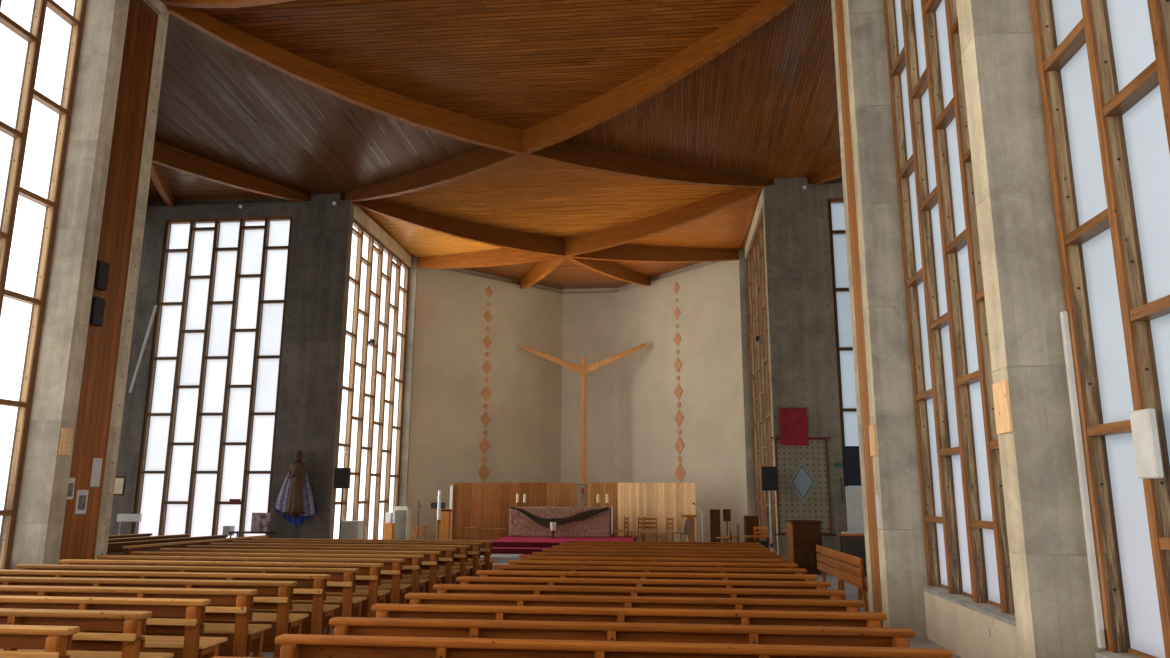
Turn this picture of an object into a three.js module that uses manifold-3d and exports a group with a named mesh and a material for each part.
// A modern church: concrete piers and walls, tall timber-framed windows of opal glass,
// and a timber roof that sags to the crossing points of its ribs.
// Millimetres, +Z up, +Y towards the altar, x = 0 on the hall's axis.
import * as THREE from "three";
import { mergeVertices } from "three/addons/utils/BufferGeometryUtils.js";
import Module from "manifold-3d";

const wasm = await Module();
wasm.setup();

// Lengths along the hall are counted from a point near the entrance, and the whole
// group is then moved back by MIDDLE, so that the building stands round its own centre.
const MIDDLE = 14700;
const GAP = 0.3; // left between pieces that touch

// Floor
const FLOOR = 150;
const SEAT = FLOOR + GAP;

// Nave
const ENTRANCE_FACE = -1810; // inner face of the entrance wall
const ENTRANCE_BACK = -2110;
const PIER_INNER = 5840;
const PIER_OUTER = 6345;
const PIER_THICK = 320;
const PIER_STARTS = [2520, 6850, 11180];
const NAVE_OUTER = 6645;
const SILL_TOP = FLOOR + 640;
const BEAM_UNDER = FLOOR + 10200;
const LEDGE_TOP = FLOOR + 10500; // where the near ribs rest
const LEDGE_DEPTH = 260;
const INFILL_INNER = 5930;

// Crossing and transepts
const NEAR_WALL = [12380, 12660];
const FAR_WALL = [20860, 21160];
const FAR_CROWN = 21010; // ridge line of the roof over the far wall
const SLAB_INNER = 5705;
const SLAB_OUTER = 7350;
const SLAB_RISE = [6000, 6860]; // the raised middle of the slab's top
const JAMB_INNER = 11170;
const END_WALL = [12200, 12500];
const FAR_TOP = FLOOR + 9820;
const FAR_BEAM_UNDER = FLOOR + 9410;

// Chancel and apse
const CHANCEL_WALL = [5700, 6000];
const CHANCEL_GLASS = CHANCEL_WALL[0] + 60; // inner face of its window frames
const APSE_PIER_START = 26400;
const APSE_PIER_END = 26900;
const APSE_PIER_INNER = 5500;
const APSE_FRONT = new THREE.Vector2(5520, 26500);
const APSE_BACK = new THREE.Vector2(1043, 31230);
const PLASTER_THICK = 250;
const PLASTER_TOP = FLOOR + 9540;

// Roof
const DECK_THICK = 280;
const RIB_WIDTH = 160;
const NEAR_DECK = FLOOR + 10670;
const FAR_DECK = FLOOR + 10000;
const APSE_DECK = FLOOR + 9750;
const NAVE_HALF = 5930;
const FAR_HALF = 5850;
const EAVES = 7000;
const TRANSEPT_RIB_OUTER = 11100;
const TRANSEPT_EAVES = 12900;
const APSE_EAVES_TURN = 26300;
const APSE_OVERHANG = 650; // each way in plan, past the plaster's inner face
const FRONT_OVERHANG = 640;
const NEAR_OVERHANG = 480;
const FAR_OVERHANG = 650;
const ROUNDING_START = 0.85; // share of the way out at which a smooth crown begins
const SAG_STEPS = [0, 0.25, 0.5, 0.7, 0.85, 0.93, 1];

// Windows
const BAR = 90;
const FRAME_DEEP = 160;
const PANE_THICK = 20;

const CONCRETE = { color: 0x8f8878, roughness: 0.9, metalness: 0 };
const PLASTER = { color: 0xc9bda0, roughness: 0.9, metalness: 0 };
const TIMBER = { color: 0xa8692f, roughness: 0.6, metalness: 0 };
const LATTICE = { color: 0x9c7040, roughness: 0.7, metalness: 0 };
const PANEL = { color: 0x8a4a22, roughness: 0.6, metalness: 0 };
const PINE = { color: 0xd9a866, roughness: 0.55, metalness: 0 };
const STONE = { color: 0x9a7464, roughness: 0.9, metalness: 0 };
const CARPET = { color: 0x9c1f46, roughness: 0.95, metalness: 0 };
const FLOORING = { color: 0xa8a396, roughness: 0.6, metalness: 0 };

// Geometry helpers

// A box whose corners hold exactly the given numbers, so that flush boxes share their faces.
function block(x0, x1, y0, y1, z0, z1) {
  const shape = new THREE.BoxGeometry(1, 1, 1);
  const at = shape.attributes.position;
  for (let i = 0; i < at.count; i++) {
    const [x, y, z] = [at.getX(i), at.getY(i), at.getZ(i)];
    at.setXYZ(i, x < 0 ? x0 : x1, y < 0 ? y0 : y1, z < 0 ? z0 : z1);
  }
  return shape;
}

function prism(outline, z0, z1) {
  const shape = new THREE.Shape(outline.map(([x, y]) => new THREE.Vector2(x, y)));
  const options = { depth: z1 - z0, bevelEnabled: false };
  return new THREE.ExtrudeGeometry(shape, options).translate(0, 0, z0);
}

function solid(geometry) {
  const bare = geometry.clone();
  bare.deleteAttribute("normal");
  bare.deleteAttribute("uv");
  const merged = mergeVertices(bare, 1e-3);
  return new wasm.Manifold(
    new wasm.Mesh({
      numProp: 3,
      vertProperties: merged.attributes.position.array,
      triVerts: new Uint32Array(merged.index.array),
    }),
  );
}

function geometryOf(made) {
  const mesh = made.getMesh();
  const geometry = new THREE.BufferGeometry();
  geometry.setAttribute("position", new THREE.BufferAttribute(mesh.vertProperties, 3));
  geometry.setIndex(new THREE.BufferAttribute(mesh.triVerts, 1));
  const faceted = geometry.toNonIndexed();
  faceted.computeVertexNormals();
  return faceted;
}

function joined(geometries) {
  return geometries.map(solid).reduce((whole, next) => whole.add(next));
}

function cutBy(made, cutters) {
  return cutters.reduce((left, cutter) => left.subtract(solid(cutter)), made);
}

function piece(name, shape, finish) {
  const geometry = shape.isBufferGeometry ? shape : geometryOf(shape);
  const mesh = new THREE.Mesh(geometry, new THREE.MeshStandardMaterial(finish));
  mesh.name = name;
  return mesh;
}

// Roof sheets: lists of triangles in plan, each point with the height of the underside

function saggedShare(t, crowned) {
  const past = crowned ? Math.max(0, t - ROUNDING_START) : 0;
  const rounding = past ** 2 / (1 - ROUNDING_START);
  return (t ** 2 - rounding) / (crowned ? ROUNDING_START : 1);
}

// One vault bay: rings of panels round its lowest point, straight from corner to corner.
function fan(centre, corners) {
  const rings = SAG_STEPS.map((t) =>
    corners.map((corner) => [
      centre[0] + t * (corner.x - centre[0]),
      centre[1] + t * (corner.y - centre[1]),
      centre[2] + (corner.z - centre[2]) * saggedShare(t, corner.crowned),
    ]),
  );
  const triangles = [];
  corners.forEach((_, i) => {
    const j = (i + 1) % corners.length;
    triangles.push([centre, rings[1][i], rings[1][j]]);
    for (let k = 1; k + 1 < rings.length; k++) {
      triangles.push(...panel(rings[k][i], rings[k + 1][i], rings[k + 1][j], rings[k][j]));
    }
  });
  return triangles;
}

// Four corners in order, folded along the lower diagonal or else the shorter one,
// so that mirrored panels match.
function panel(a, b, c, d) {
  const reach = (p, q) => Math.hypot(q[0] - p[0], q[1] - p[1]);
  const rise = a[2] + c[2] - b[2] - d[2];
  const foldsFirst = Math.abs(rise) > 1e-6 ? rise < 0 : reach(a, c) < reach(b, d);
  return foldsFirst ? [[a, b, c], [a, c, d]] : [[a, b, d], [b, c, d]];
}

function strip(inner, outer) {
  return inner.slice(1).flatMap((end, i) => panel(inner[i], outer[i], outer[i + 1], end));
}

// Gives a sheet its thickness: the underside, a copy above it and walls round its rim.
function raised(sheet, lowerBy, thick) {
  const up = sheet.map(([a, b, c]) => {
    const turn = (b[0] - a[0]) * (c[1] - a[1]) - (b[1] - a[1]) * (c[0] - a[0]);
    return turn > 0 ? [a, b, c] : [a, c, b];
  });
  const at = (p, lift) => [p[0], p[1], p[2] - lowerBy + lift];
  const key = (p) => p.map((v) => v.toFixed(2)).join();
  const edges = new Map();
  const faces = [];
  for (const [a, b, c] of up) {
    faces.push([at(a, thick), at(b, thick), at(c, thick)]);
    faces.push([at(a, 0), at(c, 0), at(b, 0)]);
    for (const [p, q] of [[a, b], [b, c], [c, a]]) edges.set(key(p) + " " + key(q), [p, q]);
  }
  for (const [p, q] of edges.values()) {
    if (edges.has(key(q) + " " + key(p))) continue;
    faces.push([at(p, 0), at(q, 0), at(q, thick)]);
    faces.push([at(p, 0), at(q, thick), at(p, thick)]);
  }
  const geometry = new THREE.BufferGeometry();
  geometry.setAttribute("position", new THREE.Float32BufferAttribute(faces.flat(2), 3));
  geometry.computeVertexNormals();
  return geometry;
}

// Each sheet is held back from its neighbours by the seam, or overlaps them where it is negative.

const NAVE_SUPPORTS = [-1960, 2680, 7010, NEAR_WALL[0]];
const NAVE_NODE_DECK = FLOOR + 9600;

function naveSheet(seam) {
  const near = (x, y, z = NEAR_DECK) => ({ x, y, z, crowned: false });
  const triangles = [];
  for (let i = 0; i + 1 < NAVE_SUPPORTS.length; i++) {
    const [y0, y1] = [NAVE_SUPPORTS[i], NAVE_SUPPORTS[i + 1]];
    const corners = [near(-NAVE_HALF, y0), near(NAVE_HALF, y0), near(NAVE_HALF, y1), near(-NAVE_HALF, y1)];
    triangles.push(...fan([0, (y0 + y1) / 2, NAVE_NODE_DECK], corners));
  }
  const line = (y) => [-EAVES + seam, -NAVE_HALF, NAVE_HALF, EAVES - seam].map((x) => [x, y, NEAR_DECK]);
  triangles.push(...strip(line(NAVE_SUPPORTS[0] - FRONT_OVERHANG), line(NAVE_SUPPORTS[0])));
  triangles.push(...strip(line(NEAR_WALL[0]), line(NEAR_WALL[1])));
  const edge = (x) => NAVE_SUPPORTS.map((y) => [x, y, NEAR_DECK]);
  triangles.push(...strip(edge(NAVE_HALF), edge(EAVES - seam)));
  triangles.push(...strip(edge(-NAVE_HALF), edge(-EAVES + seam)));
  const far = (x) => ({ x, y: FAR_CROWN - seam, z: FAR_DECK, crowned: true });
  const side = near(NAVE_HALF, NEAR_WALL[1]);
  const crossing = [side, far(FAR_HALF), far(-FAR_HALF), near(-NAVE_HALF, NEAR_WALL[1])];
  triangles.push(...fan(CROSSING_NODE.deck, crossing));
  return triangles;
}

function transeptSheet(seam) {
  const [y0, y1] = [NEAR_WALL[1] + seam, FAR_CROWN];
  const [x0, x1] = [EAVES + seam, TRANSEPT_RIB_OUTER];
  const corners = [
    { x: x0, y: y0, z: NEAR_DECK, crowned: false },
    { x: x1, y: y0, z: NEAR_DECK, crowned: false },
    { x: x1, y: y1, z: FAR_DECK, crowned: true },
    { x: x0, y: y1, z: FAR_DECK, crowned: true },
  ];
  const across = (y, z) => [x0, x1, TRANSEPT_EAVES].map((x) => [x, y, z]);
  const end = (x) => [[x, y0, NEAR_DECK], [x, y1, FAR_DECK]];
  const inner = [
    [NAVE_HALF + seam, y0, NEAR_DECK],
    [FAR_HALF + seam, y1, FAR_DECK],
  ];
  return [
    ...fan(TRANSEPT_NODE.deck, corners),
    ...strip(inner, end(x0)),
    ...strip(end(x1), end(TRANSEPT_EAVES)),
    ...strip(across(NEAR_WALL[0] - NEAR_OVERHANG, NEAR_DECK), across(y0, NEAR_DECK)),
    ...strip(across(y1, FAR_DECK), across(FAR_CROWN + FAR_OVERHANG, FAR_DECK)),
  ];
}

function chancelSheet(seam) {
  const rightInner = [
    [FAR_HALF, FAR_CROWN + seam, FAR_DECK, true],
    [APSE_FRONT.x, APSE_FRONT.y, APSE_DECK, false],
    [MID_PLASTER.x, MID_PLASTER.y, APSE_DECK, false],
    [APSE_BACK.x, APSE_BACK.y, APSE_DECK, false],
  ];
  const rightOuter = [
    [EAVES - seam, FAR_CROWN + seam, FAR_DECK],
    [EAVES - seam, APSE_EAVES_TURN, APSE_DECK],
    [MID_PLASTER.x + APSE_OVERHANG, MID_PLASTER.y + APSE_OVERHANG, APSE_DECK],
    [APSE_BACK.x + APSE_OVERHANG / 2, APSE_BACK.y + APSE_OVERHANG, APSE_DECK],
  ];
  const round = (right) => [...right, ...right.map(([x, ...rest]) => [-x, ...rest]).reverse()];
  const inner = round(rightInner);
  const corners = inner.map(([x, y, z, crowned]) => ({ x, y, z, crowned }));
  const points = inner.map(([x, y, z]) => [x, y, z]);
  return [...fan(CHANCEL_NODE.deck, corners), ...strip(points, round(rightOuter))];
}

function mirroredSheet(sheet) {
  return sheet.map((triangle) => triangle.map(([x, y, z]) => [-x, y, z]));
}

const ALONG_APSE = new THREE.Vector2().subVectors(APSE_BACK, APSE_FRONT).normalize();
const PLASTER_OUT = new THREE.Vector2(ALONG_APSE.y, -ALONG_APSE.x).multiplyScalar(PLASTER_THICK);

// The lowest point of each vault, where its ribs cross: the deck there and the ribs' underside

const MID_PLASTER = new THREE.Vector2().lerpVectors(APSE_FRONT, APSE_BACK, 0.692);
const CROSSING_NODE = { deck: [0, 16550, FLOOR + 9600], under: FLOOR + 9080 };
const CHANCEL_NODE = { deck: [0, 23900, FLOOR + 9470], under: FLOOR + 8900 };
const TRANSEPT_NODE = { deck: [9050, 16835, FLOOR + 9950], under: FLOOR + 9450 };
const NEAR_RIB_UNDER = FLOOR + 10440;
const NAVE_RIB_UNDER = FLOOR + 9080;
const FAR_RIB_UNDER = FLOOR + 9820;
const APSE_RIB_UNDER = FLOOR + 9400;

// Everything above the roof's underside, over the seams between the sheets too
const SEAM = GAP / 2;
const OVERLAP = -2;
const SKY = 4000;
const roofAbove = [SEAM, OVERLAP]
  .flatMap((seam) => [
    naveSheet(seam),
    transeptSheet(seam),
    mirroredSheet(transeptSheet(seam)),
    chancelSheet(seam),
  ])
  .map((sheet) => solid(raised(sheet, GAP, SKY)))
  .reduce((whole, next) => whole.add(next));

function underRoof(geometries) {
  return joined(geometries).subtract(roofAbove);
}

// A rib hangs in a vertical plane from the vault's lowest point out to its support.
function rib(node, support, under, past) {
  const [x, y] = node.deck;
  const run = Math.hypot(support[0] - x, support[1] - y);
  const steps = 6;
  const end = 1 + past / run;
  const outline = [];
  for (let i = 0; i <= steps; i++) {
    const t = (end * i) / steps;
    outline.push(new THREE.Vector2(t * run, node.under + (under - node.under) * t ** 2));
  }
  outline.push(new THREE.Vector2(end * run, NEAR_DECK + 700));
  outline.push(new THREE.Vector2(0, NEAR_DECK + 700));
  const options = { depth: RIB_WIDTH, bevelEnabled: false };
  const plate = new THREE.ExtrudeGeometry(new THREE.Shape(outline), options);
  plate.translate(0, 0, -RIB_WIDTH / 2);
  const along = new THREE.Vector3(support[0] - x, support[1] - y, 0).normalize();
  const upright = new THREE.Vector3(0, 0, 1);
  const aside = new THREE.Vector3().crossVectors(along, upright);
  plate.applyMatrix4(new THREE.Matrix4().makeBasis(along, upright, aside));
  return plate.translate(x, y, 0);
}

function ribGroup(ribs, cutters) {
  return cutBy(underRoof(ribs), cutters);
}

// Windows: a timber frame with its upright bars, closed on the outside by one sheet of glass.
// Bays are spans along the wall, each with its number of columns of panes.
function glazedFrame({ centre, out, width, bottom, top, bays }) {
  const rail = (from, to, z0, z1) => block(from, to, 0, FRAME_DEEP, z0, z1);
  const half = width / 2;
  const inset = BAR / 2;
  const [sheetNear, sheetFar] = [FRAME_DEEP - PANE_THICK, FRAME_DEEP + PANE_THICK];
  const parts = [
    rail(-half, half, bottom, bottom + BAR),
    rail(-half, half, top - BAR, top),
    block(inset - half, half - inset, sheetNear, sheetFar, bottom + inset, top - inset),
  ];
  const upright = (from, to) => parts.push(rail(from, to, bottom + inset, top - inset));
  let start = -half;
  for (const [from, to, columns] of bays) {
    upright(start, from + BAR);
    const pitch = (to - from - BAR) / columns;
    for (let i = 1; i < columns; i++) upright(from + i * pitch, from + i * pitch + BAR);
    start = to - BAR;
  }
  upright(start, half);
  const outward = new THREE.Vector3(out[0], out[1], 0);
  const up = new THREE.Vector3(0, 0, 1);
  const along = new THREE.Vector3().crossVectors(outward, up);
  const basis = new THREE.Matrix4().makeBasis(along, outward, up);
  return joined(parts.map((part) => part.applyMatrix4(basis).translate(centre[0], centre[1], 0)));
}

function windowBetween(span, plane, out, bottom, top, columns) {
  const middle = (span[0] + span[1]) / 2;
  const width = span[1] - span[0] - 2 * GAP;
  const centre = out[0] ? [plane, middle] : [middle, plane];
  const bays = [[-width / 2, width / 2, columns]];
  return glazedFrame({ centre, out, width, bottom, top, bays });
}

// Floor

function floorSlab() {
  const right = [
    [NAVE_OUTER, ENTRANCE_BACK],
    [NAVE_OUTER, NEAR_WALL[0]],
    [END_WALL[1], NEAR_WALL[0]],
    [END_WALL[1], FAR_WALL[1]],
    [CHANCEL_WALL[1], FAR_WALL[1]],
    [CHANCEL_WALL[1], APSE_PIER_END],
    [APSE_FRONT.x + PLASTER_OUT.x, APSE_FRONT.y + PLASTER_OUT.y],
    [APSE_BACK.x + PLASTER_OUT.x, APSE_BACK.y + PLASTER_OUT.y],
  ];
  return prism([...right, ...flipped(right).reverse()], 0, FLOOR);
}

// Furnishings

// Levels and fronts of the chancel's low platform and of the two steps under the altar
const STEP = 140;
const PLATFORM_FRONT = 21300;
const PLATFORM_TOP = FLOOR + STEP;
const PLATFORM_SEAT = PLATFORM_TOP + GAP;
const CLEAR = 10; // between the platform and the walls round it
const ALTAR_STEPS = [22400, 22950, 26400];
const ALTAR_STEPS_HALF = 2000;
const ALTAR_FLOOR = FLOOR + 3 * STEP;

function chancelPlatform() {
  const [side, turn] = [CHANCEL_GLASS - CLEAR, APSE_PIER_START - CLEAR];
  const right = [
    [side, PLATFORM_FRONT],
    [side, turn],
    [APSE_PIER_INNER - CLEAR, turn],
    [APSE_PIER_INNER - CLEAR, APSE_FRONT.y],
    [APSE_BACK.x - CLEAR, APSE_BACK.y - CLEAR],
  ];
  return prism([...right, ...flipped(right).reverse()], SEAT, PLATFORM_TOP);
}

function flipped(points) {
  return points.map(([x, y]) => [-x, y]);
}

function altarSteps() {
  const [first, second, back] = ALTAR_STEPS;
  const middle = PLATFORM_TOP + STEP;
  const outline = [
    [first, PLATFORM_SEAT],
    [back, PLATFORM_SEAT],
    [back, ALTAR_FLOOR],
    [second, ALTAR_FLOOR],
    [second, middle],
    [first, middle],
  ];
  return acrossHall(outline, -ALTAR_STEPS_HALF, ALTAR_STEPS_HALF);
}

// A profile drawn with x along the hall and y up, extruded across the hall.
function acrossHall(outline, left, right) {
  const across = new THREE.Vector3(1, 0, 0);
  const along = new THREE.Vector3(0, 1, 0);
  const upright = new THREE.Vector3(0, 0, 1);
  return prism(outline, left, right).applyMatrix4(new THREE.Matrix4().makeBasis(along, upright, across));
}

function altar() {
  return block(-1900, 1250, 25500, 26300, ALTAR_FLOOR + GAP, FLOOR + 1330);
}

const CROSS_Y = 29500;
const ARM_RISE = 0.39;
const SCREEN_THICK = 60;
const SCREEN_TOP = FLOOR + 2090;
const SCREEN_GAP = [70, 410]; // left open above a low rail
const SCREEN_RAIL = 120;

function altarScreen() {
  const front = [
    [3870, 26100],
    [1400, 26850],
    [240, 27050],
    [-930, 26950],
    [-3860, 26100],
  ];
  const back = front.map(([x, y]) => [x, y + SCREEN_THICK]).reverse();
  const boards = solid(prism([...front, ...back], PLATFORM_SEAT, SCREEN_TOP));
  return cutBy(boards, [block(...SCREEN_GAP, 26000, 28000, PLATFORM_SEAT + SCREEN_RAIL, SCREEN_TOP + 1)]);
}

// A plain post with two rising arms, standing between the screen and the back wall.
function cross() {
  const y = CROSS_Y;
  const hub = FLOOR + 6160;
  const post = block(-105, 105, y - 60, y + 60, PLATFORM_SEAT, hub + 520);
  const arms = [1, -1].map((side) => {
    const arm = new THREE.BoxGeometry(2500, 100, 220).translate(1250, 0, 0);
    return arm.rotateY(side > 0 ? -ARM_RISE : Math.PI + ARM_RISE).translate(0, y, hub);
  });
  return joined([post, ...arms]);
}

// The reader's desk at the left of the altar.
function ambo() {
  const outline = [
    [24000, PLATFORM_SEAT],
    [24400, PLATFORM_SEAT],
    [24400, FLOOR + 1250],
    [24000, FLOOR + 1370],
  ];
  return acrossHall(outline, -5100, -4650);
}

// A cupboard near the far wall, turned a little away from the hall's axis.
function cabinet() {
  return block(0, 690, 0, 580, SEAT, FLOOR + 1170).rotateZ(0.14).translate(5830, 19300, 0);
}

// Pews: each row is one profile with its seat, back and front board, on a long floor runner.
const PEW_ROWS = 18;
const PEW_TOP = 850;
const PEW_DEEP = 480;
const PEW_SEAT = 465;
const BOARD = 40;
const RUNNER = { wide: 60, high: 40 };

function pewRow(left, right) {
  const outline = [
    [0, 0],
    [BOARD, 0],
    [BOARD, PEW_SEAT - BOARD],
    [PEW_DEEP - 2 * BOARD, PEW_SEAT - BOARD],
    [PEW_DEEP - BOARD, 0],
    [PEW_DEEP, 0],
    [PEW_DEEP - BOARD, PEW_SEAT],
    [BOARD, PEW_SEAT],
    [0, PEW_TOP],
    [-BOARD, PEW_TOP],
  ];
  return acrossHall(outline, left, right);
}

// The rows stand square to the axis, and their ends step sideways along a slanting aisle.
function pewBlock({ outer, aisle, slant, first, pitch }) {
  const parts = [];
  for (let i = 0; i < PEW_ROWS; i++) {
    const ends = [outer, aisle + slant * i * pitch].sort((a, b) => a - b);
    parts.push(pewRow(...ends).translate(0, first + i * pitch, SEAT));
  }
  const [middle, half] = [(outer + aisle) / 2, RUNNER.wide / 2];
  const span = [first + BOARD / 2, first + (PEW_ROWS - 1) * pitch + PEW_DEEP / 2];
  parts.push(block(middle - half, middle + half, ...span, SEAT, SEAT + RUNNER.high));
  return joined(parts);
}

const PEWS_RIGHT = { outer: 4800, aisle: 342, slant: 0.055, first: 3195, pitch: 775 };
const PEWS_LEFT = { outer: -5350, aisle: -1242, slant: 0.066, first: 3370, pitch: 757 };

// Drawn facing +Y round its own middle, then turned towards the crossing and set in its place.
function placed(parts, turn, x, y) {
  return joined(parts.map((part) => part.rotateZ(turn).translate(x, y, SEAT)));
}

// Three rows in the left transept behind a plain front panel.
function sidePews() {
  const [rows, pitch, half] = [3, 1000, 1890];
  const parts = [block(-half, half, -BOARD / 2, BOARD / 2, 0, PEW_TOP)];
  for (let i = 1; i <= rows; i++) parts.push(pewRow(-half, half).translate(0, BOARD / 2 - i * pitch, 0));
  parts.push(block(-RUNNER.wide / 2, RUNNER.wide / 2, BOARD - rows * pitch, 0, 0, RUNNER.high));
  return placed(parts, -Math.PI / 2 - 0.169, -5905, 15385);
}

// A slatted bench that turns its back to the crossing, by the right transept.
function bench() {
  const [half, deep, seat, slat] = [1560, 430, 450, 130];
  const parts = [block(-half, half, -30, deep, seat - 40, seat)];
  for (let i = 0; i < 3; i++) {
    const top = PEW_TOP - i * (slat + 30);
    parts.push(block(-half, half, -30, 10, top - slat, top));
  }
  for (const x of [150 - half, 0, half - 150]) {
    parts.push(block(x - 25, x + 25, -10, 50, 0, PEW_TOP - 20));
    parts.push(block(x - 25, x + 25, deep - 60, deep - 10, 0, seat - 20));
  }
  return placed(parts, 0.03 - Math.PI / 2, 5830, 14260);
}

// Entrance end

const DOORWAY_HALF = 2000;
const DOOR_LINTEL = [FLOOR + 2500, FLOOR + 2800];

function entrancePieces() {
  const front = [ENTRANCE_BACK, ENTRANCE_FACE];
  const beam = block(-NAVE_OUTER, NAVE_OUTER, ...front, BEAM_UNDER, BEAM_UNDER + 1500);
  const lintelSpan = [-DOORWAY_HALF + GAP, DOORWAY_HALF - GAP];
  const opening = [-DOORWAY_HALF, DOORWAY_HALF];
  const middle = (ENTRANCE_BACK + ENTRANCE_FACE) / 2 + FRAME_DEEP / 2;
  const glass = windowBetween(opening, middle, [0, -1], DOOR_LINTEL[1] + GAP, BEAM_UNDER - GAP, 5);
  const doors = windowBetween(opening, middle, [0, -1], SEAT, DOOR_LINTEL[0] - GAP, 4);
  return [
    piece("entrance_beam", underRoof([beam]), CONCRETE),
    piece("entrance_lintel", block(...lintelSpan, ...front, ...DOOR_LINTEL), CONCRETE),
    piece("entrance_window", glass, LATTICE),
    piece("entrance_doors", doors, PANEL),
  ];
}

// The right-hand half of the building: the left half is its mirror image.

function navePieces() {
  const top = BEAM_UNDER - GAP;
  const from = ENTRANCE_FACE + GAP;
  const infillStart = PIER_STARTS.at(-1) + PIER_THICK;
  const piers = PIER_STARTS.map((y, i) =>
    piece("nave_pier_" + (i + 1), block(PIER_INNER, PIER_OUTER - GAP, y, y + PIER_THICK, SEAT, top), CONCRETE),
  );
  const plinth = block(PIER_OUTER, NAVE_OUTER, from, infillStart - GAP, SEAT, SILL_TOP);
  const infill = block(INFILL_INNER, NAVE_OUTER, infillStart + GAP, NEAR_WALL[0] - GAP, SEAT, top);
  const beamEnd = NEAR_WALL[0] - GAP;
  const beam = underRoof([
    block(PIER_INNER, NAVE_OUTER, from, beamEnd, BEAM_UNDER, LEDGE_TOP),
    block(PIER_INNER + LEDGE_DEPTH, NAVE_OUTER, from, beamEnd, BEAM_UNDER, BEAM_UNDER + 1500),
  ]);
  const wall = block(DOORWAY_HALF, NAVE_OUTER, ENTRANCE_BACK, ENTRANCE_FACE, SEAT, top);
  return [
    ...piers,
    piece("nave_plinth", plinth, CONCRETE),
    piece("pier_infill", infill, PANEL),
    piece("nave_beam", beam, CONCRETE),
    piece("nave_window", naveWindow(from, infillStart - GAP), LATTICE),
    piece("entrance_wall", wall, CONCRETE),
  ];
}

function naveWindow(from, to) {
  const middle = (from + to) / 2;
  const starts = [from, ...PIER_STARTS.map((y) => y + PIER_THICK)];
  // A frame that faces outward to +X counts its bays from its far end.
  const bays = PIER_STARTS.map((end, i) => [middle - end, middle - starts[i], 5]).reverse();
  const centre = [PIER_OUTER + GAP, middle];
  const [bottom, top] = [SILL_TOP + GAP, BEAM_UNDER - GAP];
  return glazedFrame({ centre, out: [1, 0], width: to - from, bottom, top, bays });
}

const UPSTAND = 1500; // tall enough to reach the roof anywhere, which then trims it

function transeptPieces() {
  const near = [
    block(INFILL_INNER, END_WALL[1], ...NEAR_WALL, SEAT, LEDGE_TOP),
    nearUpstand(0),
  ];
  const slab = [
    block(SLAB_INNER, SLAB_OUTER, ...FAR_WALL, SEAT, FAR_TOP),
    ...slabUpstands(0),
  ];
  const beamStart = SLAB_OUTER + GAP;
  const farBeam = [
    block(beamStart, END_WALL[1], ...FAR_WALL, FAR_BEAM_UNDER, FAR_TOP),
    farUpstand(0),
  ];
  const endSpan = [NEAR_WALL[1] + GAP, FAR_WALL[1]];
  const endMiddle = (END_WALL[0] + END_WALL[1]) / 2;
  const endBeam = [
    block(...END_WALL, ...endSpan, FAR_BEAM_UNDER, FAR_TOP),
    block(endMiddle, END_WALL[1], ...endSpan, FAR_BEAM_UNDER, FAR_TOP + UPSTAND),
  ];
  const glassTop = FAR_BEAM_UNDER - GAP;
  const farWindow = windowBetween([SLAB_OUTER, JAMB_INNER], FAR_WALL[0] + 40, [0, 1], SEAT, glassTop, 5);
  const endWindow = windowBetween([NEAR_WALL[1], FAR_WALL[0]], END_WALL[0] + 40, [1, 0], SEAT, glassTop, 10);
  const jamb = block(JAMB_INNER, END_WALL[1], ...FAR_WALL, SEAT, FAR_TOP);
  return [
    piece("transept_near_wall", underRoof(near), CONCRETE),
    piece("transept_slab_wall", underRoof(slab), CONCRETE),
    piece("transept_frame", underRoof([...farBeam, ...endBeam, jamb]), CONCRETE),
    piece("transept_far_window", farWindow, LATTICE),
    piece("transept_end_window", endWindow, LATTICE),
  ];
}

function nearUpstand(grow) {
  const middle = (NEAR_WALL[0] + NEAR_WALL[1]) / 2;
  const top = LEDGE_TOP + UPSTAND;
  return block(6250 - grow, END_WALL[1] + grow, NEAR_WALL[0] - grow, middle + grow, LEDGE_TOP, top);
}

function slabUpstands(grow) {
  const top = FAR_TOP + UPSTAND;
  const outer = SLAB_OUTER + grow;
  return [
    block(SLAB_RISE[0] - grow, SLAB_RISE[1] + grow, FAR_WALL[0] - grow, FAR_WALL[1] + grow, FAR_TOP, top),
    block(SLAB_RISE[1], outer, FAR_CROWN - grow, FAR_WALL[1] + grow, FAR_TOP, top),
  ];
}

function farUpstand(grow) {
  const inner = SLAB_OUTER + GAP - grow;
  return block(inner, END_WALL[1] + grow, FAR_CROWN - grow, FAR_WALL[1] + grow, FAR_TOP, FAR_TOP + UPSTAND);
}

function chancelPieces() {
  const span = [FAR_WALL[1], APSE_PIER_START];
  const inner = [span[0] + GAP, span[1] - GAP];
  const middle = (CHANCEL_WALL[0] + CHANCEL_WALL[1]) / 2;
  const beam = [
    block(...CHANCEL_WALL, ...inner, FAR_BEAM_UNDER, FAR_TOP),
    block(middle, CHANCEL_WALL[1], ...inner, FAR_BEAM_UNDER, FAR_TOP + UPSTAND),
  ];
  const glass = windowBetween(span, CHANCEL_GLASS, [1, 0], SEAT, FAR_BEAM_UNDER - GAP, 6);
  const pier = cutBy(underRoof([apsePier(0)]), [plasterWall(GAP, SEAT - 1, FAR_TOP + UPSTAND)]);
  return [
    piece("chancel_beam", underRoof(beam), CONCRETE),
    piece("chancel_window", glass, LATTICE),
    piece("apse_pier", pier, CONCRETE),
  ];
}

function apsePier(grow) {
  const inner = APSE_PIER_INNER - grow;
  return block(inner, CHANCEL_WALL[1], APSE_PIER_START - grow, APSE_PIER_END, SEAT, FAR_TOP + UPSTAND);
}

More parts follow.
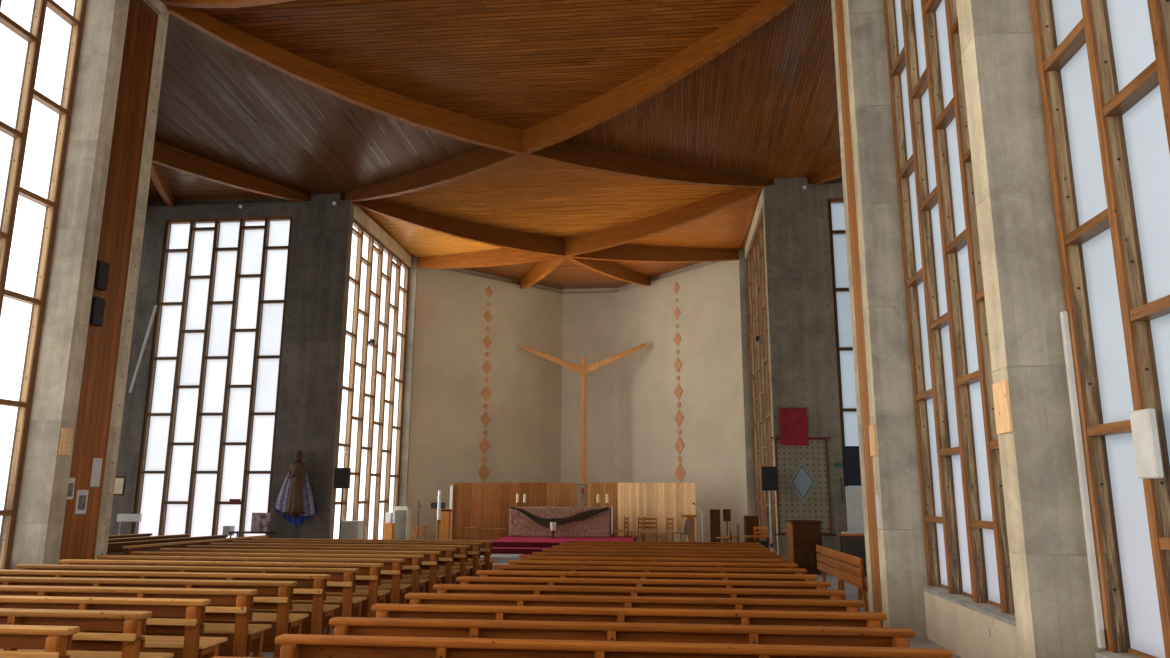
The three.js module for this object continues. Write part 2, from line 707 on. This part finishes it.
// The place of one of the plaster's ends, shifted along the wall and across it.
function besidePlaster(end, along, across) {
  const shifted = end.clone().addScaledVector(ALONG_APSE, along);
  return shifted.addScaledVector(PLASTER_OUT, across / PLASTER_THICK).toArray();
}

// The space of the slanting right-hand plaster wall, grown on all sides.
function plasterWall(grow, z0, z1) {
  const outline = [
    besidePlaster(APSE_FRONT, -grow, -grow),
    besidePlaster(APSE_FRONT, -grow, PLASTER_THICK + grow),
    besidePlaster(APSE_BACK, grow, PLASTER_THICK + grow),
    besidePlaster(APSE_BACK, grow, -grow),
  ];
  return prism(outline, z0, z1);
}

// The plaster wall round the apse, with a recessed strip above its painted face.
function apseWall() {
  const ring = (depth, z0, z1) => {
    const ends = [APSE_FRONT, APSE_BACK];
    const inner = ends.map((end) => besidePlaster(end, 0, depth));
    const outer = ends.map((end) => besidePlaster(end, 0, PLASTER_THICK));
    return prism([...inner, ...flipped(inner).reverse(), ...flipped(outer), ...outer.reverse()], z0, z1);
  };
  return underRoof([ring(0, SEAT, PLASTER_TOP), ring(PLASTER_THICK / 2, SEAT, FAR_TOP + UPSTAND)]);
}

// Ribs

function naveRibs() {
  const ribs = [];
  for (let i = 0; i + 1 < NAVE_SUPPORTS.length; i++) {
    const [y0, y1] = [NAVE_SUPPORTS[i], NAVE_SUPPORTS[i + 1]];
    const node = { deck: [0, (y0 + y1) / 2, NAVE_NODE_DECK], under: NAVE_RIB_UNDER };
    for (const x of [-NAVE_HALF, NAVE_HALF]) {
      for (const y of [y0, y1]) ribs.push(rib(node, [x, y], NEAR_RIB_UNDER, 120));
    }
  }
  const grown = 2 * GAP;
  const beams = [-1, 1].flatMap((side) => {
    const ends = [side * (PIER_INNER - GAP), side * (NAVE_OUTER + 500)].sort((a, b) => a - b);
    const stand = [side * (PIER_INNER + LEDGE_DEPTH - GAP), side * (NAVE_OUTER + 500)].sort((a, b) => a - b);
    const span = [ENTRANCE_FACE - 500, NEAR_WALL[0] + 500];
    return [
      block(...ends, ...span, BEAM_UNDER - grown, LEDGE_TOP + GAP),
      block(...stand, ...span, BEAM_UNDER - grown, LEDGE_TOP + UPSTAND),
    ];
  });
  const front = block(-8000, 8000, ENTRANCE_BACK - 900, ENTRANCE_FACE + GAP, 0, 20000);
  const end = block(-8000, 8000, NEAR_WALL[0] - GAP, NEAR_WALL[0] + 900, 0, 20000);
  return ribGroup(ribs, [...beams, front, end]);
}

function bothSides(geometries) {
  return geometries.flatMap((geometry) => {
    const mirror = geometry.clone().applyMatrix4(new THREE.Matrix4().makeScale(-1, 1, 1));
    const index = mirror.index;
    if (index) {
      index.array.reverse();
    } else {
      mirror.setAttribute("position", turnedRound(mirror.attributes.position));
    }
    return [geometry, mirror];
  });
}

// The same triangles with their corners taken the other way round.
function turnedRound(position) {
  const points = [];
  for (let i = position.count - 1; i >= 0; i--) {
    points.push(position.getX(i), position.getY(i), position.getZ(i));
  }
  return new THREE.Float32BufferAttribute(points, 3);
}

function nearLedge() {
  const [y0, y1] = NEAR_WALL;
  return block(INFILL_INNER - GAP, END_WALL[1] + 500, y0 - 500, y1 + GAP, SEAT, LEDGE_TOP + GAP);
}

function farLedges() {
  const [y0, y1] = FAR_WALL;
  return [
    block(SLAB_INNER - GAP, SLAB_OUTER + 1, y0 - GAP, y1 + GAP, SEAT, FAR_TOP + GAP),
    block(SLAB_OUTER, END_WALL[1] + 500, y0 - GAP, y1 + GAP, SEAT, FAR_TOP + GAP),
    ...slabUpstands(GAP),
    farUpstand(GAP),
  ];
}

function crossingRibs() {
  const near = [-1, 1].map((side) =>
    rib(CROSSING_NODE, [side * NAVE_HALF, NEAR_WALL[1]], NEAR_RIB_UNDER, 250),
  );
  const far = [-1, 1].map((side) => rib(CROSSING_NODE, [side * FAR_HALF, FAR_CROWN], FAR_RIB_UNDER, 0));
  const limit = block(-8000, 8000, FAR_CROWN - GAP, FAR_CROWN + 900, 0, 20000);
  const rear = block(-8000, 8000, NEAR_WALL[0] - 900, NEAR_WALL[0] + GAP, 0, 20000);
  const supports = bothSides([nearLedge(), nearUpstand(GAP), ...farLedges()]);
  return ribGroup([...near, ...far], [limit, rear, ...supports]);
}

function transeptRibs() {
  const [y0, y1] = [NEAR_WALL[1], FAR_CROWN];
  const ends = [EAVES, TRANSEPT_RIB_OUTER];
  const ribs = ends.flatMap((x) => [
    rib(TRANSEPT_NODE, [x, y0], NEAR_RIB_UNDER, 100),
    rib(TRANSEPT_NODE, [x, y1], FAR_RIB_UNDER, 0),
  ]);
  return ribGroup(ribs, [nearLedge(), nearUpstand(GAP), ...farLedges()]);
}

function chancelRibs() {
  const supports = [
    [[FAR_HALF, FAR_CROWN], FAR_RIB_UNDER, 0],
    [APSE_FRONT.toArray(), APSE_RIB_UNDER, 200],
    [MID_PLASTER.toArray(), APSE_RIB_UNDER, 200],
  ];
  const ribs = supports.flatMap(([end, under, past]) =>
    [-1, 1].map((side) => rib(CHANCEL_NODE, [side * end[0], end[1]], under, past)),
  );
  const limit = block(-8000, 8000, FAR_CROWN - 900, FAR_CROWN + GAP, 0, 20000);
  const wall = plasterWall(GAP, 0, 20000);
  const beam = block(CHANCEL_WALL[0] - GAP, CHANCEL_WALL[1] + 500, FAR_WALL[1] - 1, 27500, SEAT, 20000);
  const others = bothSides([...farLedges(), wall, apsePier(GAP), beam]);
  return ribGroup(ribs, [limit, ...others]);
}

// Assembly

function deck(name, sheet) {
  return piece(name, raised(sheet, 0, DECK_THICK), TIMBER);
}

function mirrored(meshes) {
  return meshes.flatMap((mesh) => {
    const right = mesh.clone();
    right.name = mesh.name + "_right";
    const left = mesh.clone();
    left.name = mesh.name + "_left";
    left.scale.x = -1;
    return [right, left];
  });
}

const church = new THREE.Group();
church.add(
  piece("floor_slab", floorSlab(), FLOORING),
  piece("chancel_platform", chancelPlatform(), FLOORING),
  piece("altar_steps", altarSteps(), CARPET),
  piece("altar", altar(), STONE),
  piece("altar_screen", altarScreen(), PINE),
  piece("cross", cross(), PINE),
  piece("ambo", ambo(), PLASTER),
  piece("cabinet", cabinet(), PANEL),
  piece("bench", bench(), PINE),
  piece("pews_right", pewBlock(PEWS_RIGHT), PINE),
  piece("pews_left", pewBlock(PEWS_LEFT), PINE),
  piece("side_pews", sidePews(), PINE),
  ...entrancePieces(),
  piece("apse_wall", apseWall(), PLASTER),
  deck("nave_roof", naveSheet(SEAM)),
  deck("chancel_roof", chancelSheet(SEAM)),
  piece("nave_ribs", naveRibs(), TIMBER),
  piece("crossing_ribs", crossingRibs(), TIMBER),
  piece("chancel_ribs", chancelRibs(), TIMBER),
  ...mirrored([
    ...navePieces(),
    ...transeptPieces(),
    ...chancelPieces(),
    deck("transept_roof", transeptSheet(SEAM)),
    piece("transept_ribs", transeptRibs(), TIMBER),
  ]),
);
church.position.y = -MIDDLE;

export default church;
